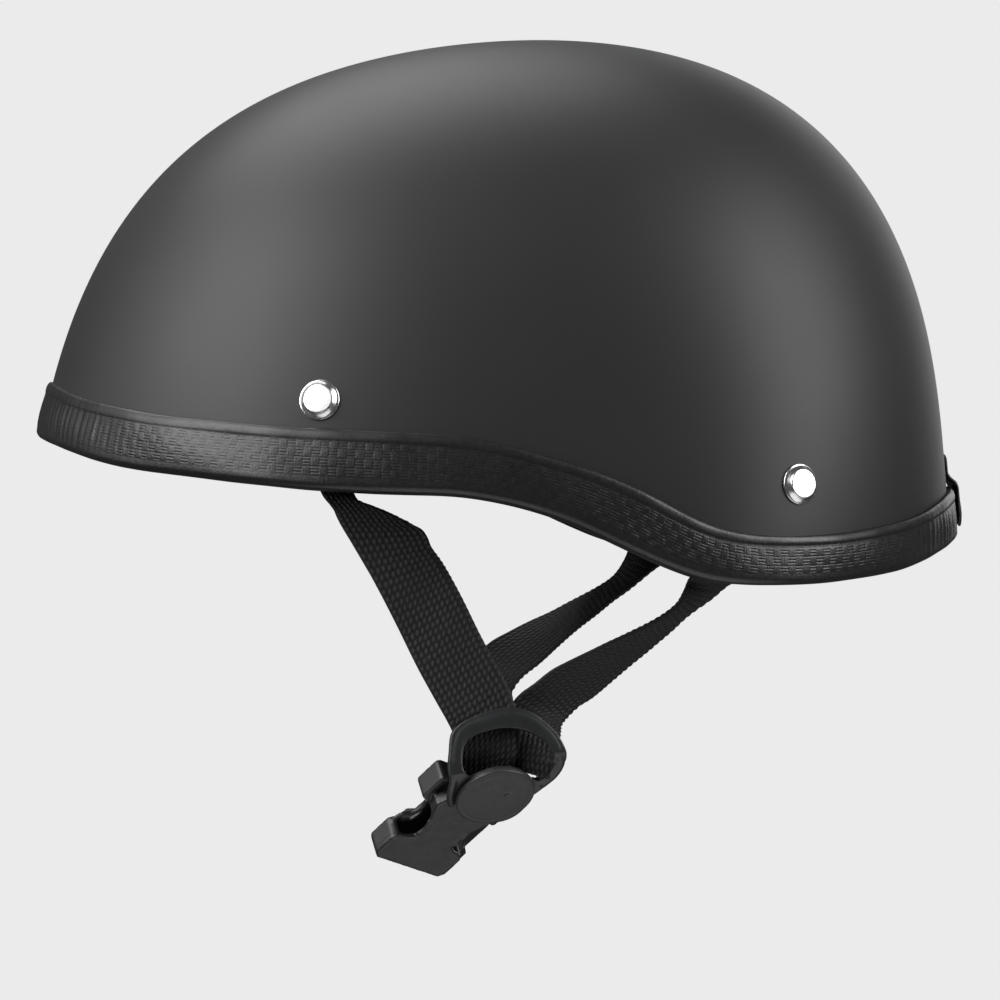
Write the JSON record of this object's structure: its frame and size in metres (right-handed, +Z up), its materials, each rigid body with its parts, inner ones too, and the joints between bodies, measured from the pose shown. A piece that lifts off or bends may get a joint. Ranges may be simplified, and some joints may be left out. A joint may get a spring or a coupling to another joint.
{
  "type": "half shell helmet",
  "caption": "Half shell helmet with a matt shell, embossed edge trim, foam liner, comfort pads, Y straps with rings, a side-release buckle and a goggle-strap retainer.",
  "frame": {"origin": "centre of the head opening, level with the lowest line of the rim", "axes": "+Z up through the crown, -Y towards the brow, +X towards the wearer's left"},
  "size_m": [0.2234, 0.2768, 0.2524],
  "materials": {
    "shell": "matt black paint over a moulded shell, soft broad highlights",
    "trim": "black synthetic leather, embossed basket weave, smooth bead",
    "foam": "black moulded bead foam",
    "pad": "black brushed fabric over foam",
    "webbing": "black ribbed polyester webbing",
    "ring": "black moulded plastic, satin",
    "disc": "black moulded plastic, satin",
    "buckle": "black moulded plastic, satin",
    "rivet": "polished nickel plate",
    "washer": "zinc-plated steel",
    "retainer": "thin black leather",
    "snap": "black-enamelled snap fastener"
  },
  "bodies": {
    "helmet": {"outer_shell": "shell", "edge_trim": "trim", "foam_liner": "foam", "pad_crown": "pad", "pad_brow": "pad", "pad_nape": "pad", "pad_left": "pad", "pad_right": "pad", "rivet_front_left": "rivet", "rivet_rear_left": "rivet", "rivet_front_right": "rivet", "rivet_rear_right": "rivet", "rivet_washers": "washer", "anchor_webbing_front_left": "webbing", "anchor_webbing_rear_left": "webbing", "anchor_webbing_front_right": "webbing", "anchor_webbing_rear_right": "webbing", "retainer_tab": "retainer", "retainer_rivet": "snap", "snap_stud": "snap"},
    "straps_left": {"front_webbing_left": "webbing", "rear_webbing_left": "webbing", "strap_ring_left": "ring", "swivel_cap_left": "disc", "swivel_washer_left": "washer"},
    "female_buckle": {"buckle_female": "buckle"},
    "straps_right": {"front_webbing_right": "webbing", "rear_webbing_right": "webbing", "strap_ring_right": "ring", "swivel_cap_right": "disc", "swivel_washer_right": "washer"},
    "male_buckle": {"buckle_male": "buckle"},
    "rear_prong": {"buckle_prong_rear": "buckle"},
    "front_prong": {"buckle_prong_front": "buckle"},
    "retainer": {"retainer_flap": "retainer", "snap_cap": "snap", "snap_socket": "snap"}
  },
  "joints": [
    {"name": "left_strap_swing", "type": "hinge", "parent": "helmet", "child": "straps_left", "pos_m": [0.0915, 0, 0.0115], "axis": [0, 0.9717, -0.2361], "range_deg": [-60, 40]},
    {"name": "left_buckle_swivel", "type": "hinge", "parent": "straps_left", "child": "female_buckle", "pos_m": [0.0966, -0.00966, -0.05923], "axis": [0.6794, 0.1766, -0.7122], "range_deg": [-10, 90]},
    {"name": "right_strap_swing", "type": "hinge", "parent": "helmet", "child": "straps_right", "pos_m": [-0.0915, 0, 0.0115], "axis": [0, -0.9717, 0.2361], "range_deg": [-60, 40]},
    {"name": "right_buckle_swivel", "type": "hinge", "parent": "straps_right", "child": "male_buckle", "pos_m": [-0.09835, 0.00817, -0.07692], "axis": [0.6794, -0.1766, 0.7122], "range_deg": [-8, 90]},
    {"name": "rear_prong_flex", "type": "hinge", "parent": "male_buckle", "child": "rear_prong", "pos_m": [-0.08251, 0.00318, -0.08309], "axis": [-0.6794, 0.1766, -0.7122], "range_deg": [0, 6], "stiffness_Nm_per_rad": 0.3},
    {"name": "front_prong_flex", "type": "hinge", "parent": "male_buckle", "child": "front_prong", "pos_m": [-0.0934, -0.0088, -0.07568], "axis": [0.6794, -0.1766, 0.7122], "range_deg": [0, 6], "stiffness_Nm_per_rad": 0.3},
    {"name": "retainer_lift", "type": "hinge", "parent": "helmet", "child": "retainer", "pos_m": [0, 0.13391, 0.02849], "axis": [1, 0, 0], "range_deg": [0, 100]}
  ]
}
